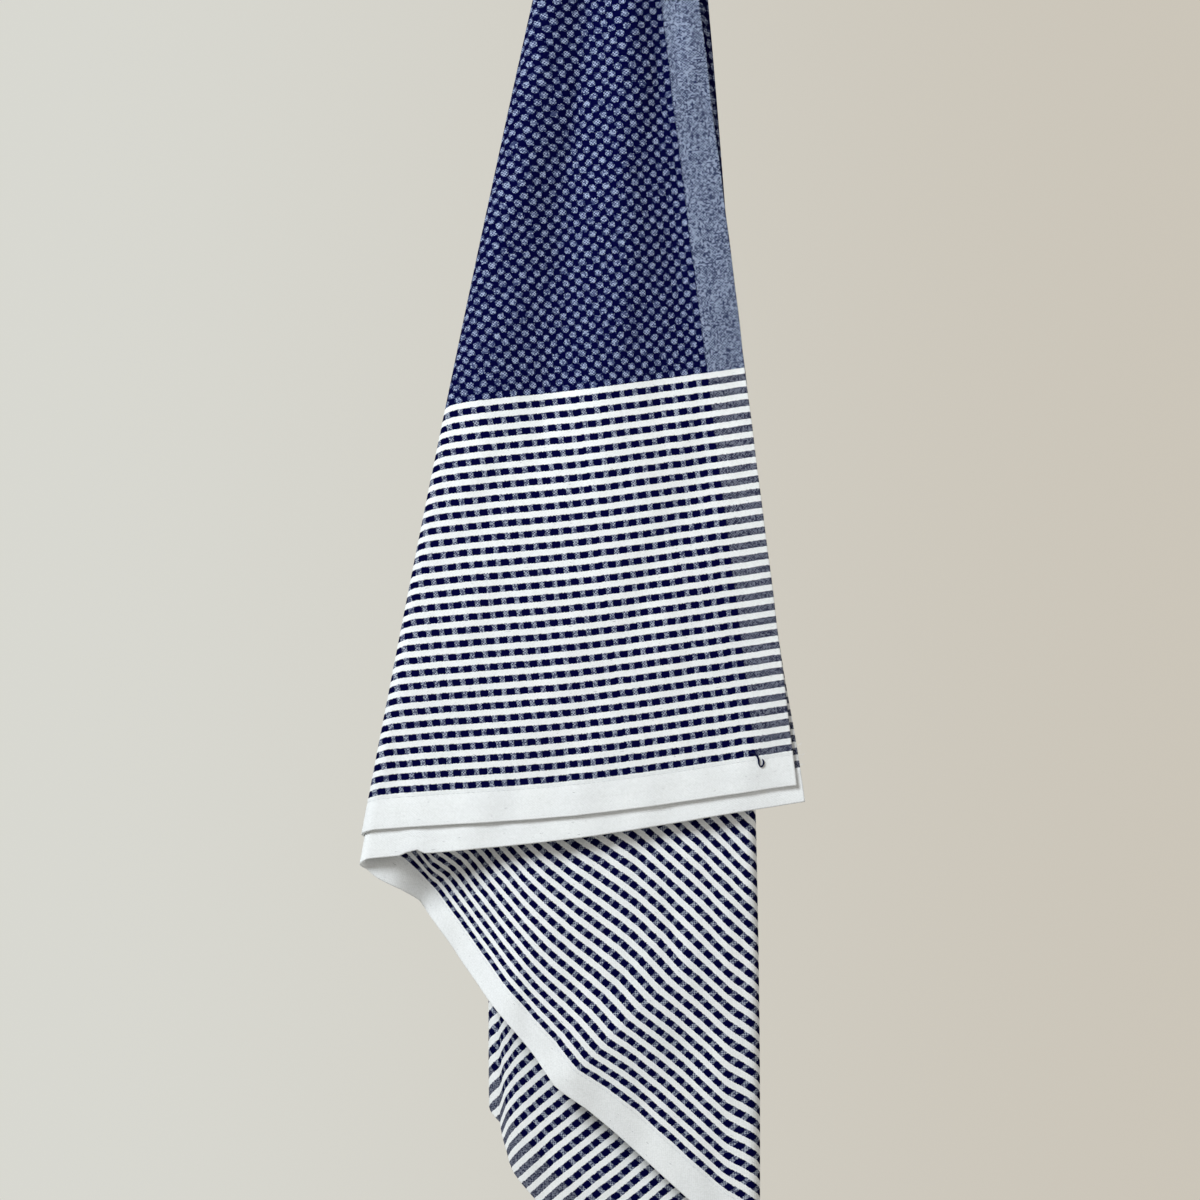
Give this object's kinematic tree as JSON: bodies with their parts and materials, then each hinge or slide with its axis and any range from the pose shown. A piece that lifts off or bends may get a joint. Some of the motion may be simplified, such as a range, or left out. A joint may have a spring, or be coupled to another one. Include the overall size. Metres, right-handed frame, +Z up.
{
  "type": "hanging bath towel",
  "caption": "Flat-woven checked bath towel with striped end borders and plain hems, folded in two and hung in a fan of folds from the middle of one long edge.",
  "frame": {"origin": "the point that the towel hangs from, at the middle of one long edge of the cloth", "axes": "+Z up along the hanging towel, -Y to the front, where the near half of the cloth shows its border and hem, and +X to the right as seen from the front"},
  "size_m": [0.2921, 0.0879, 1.0955],
  "materials": {
    "cotton": "flat-woven cotton in navy, grey-blue and white"
  },
  "bodies": {
    "root": {"towel": "cotton"}
  },
  "joints": []
}
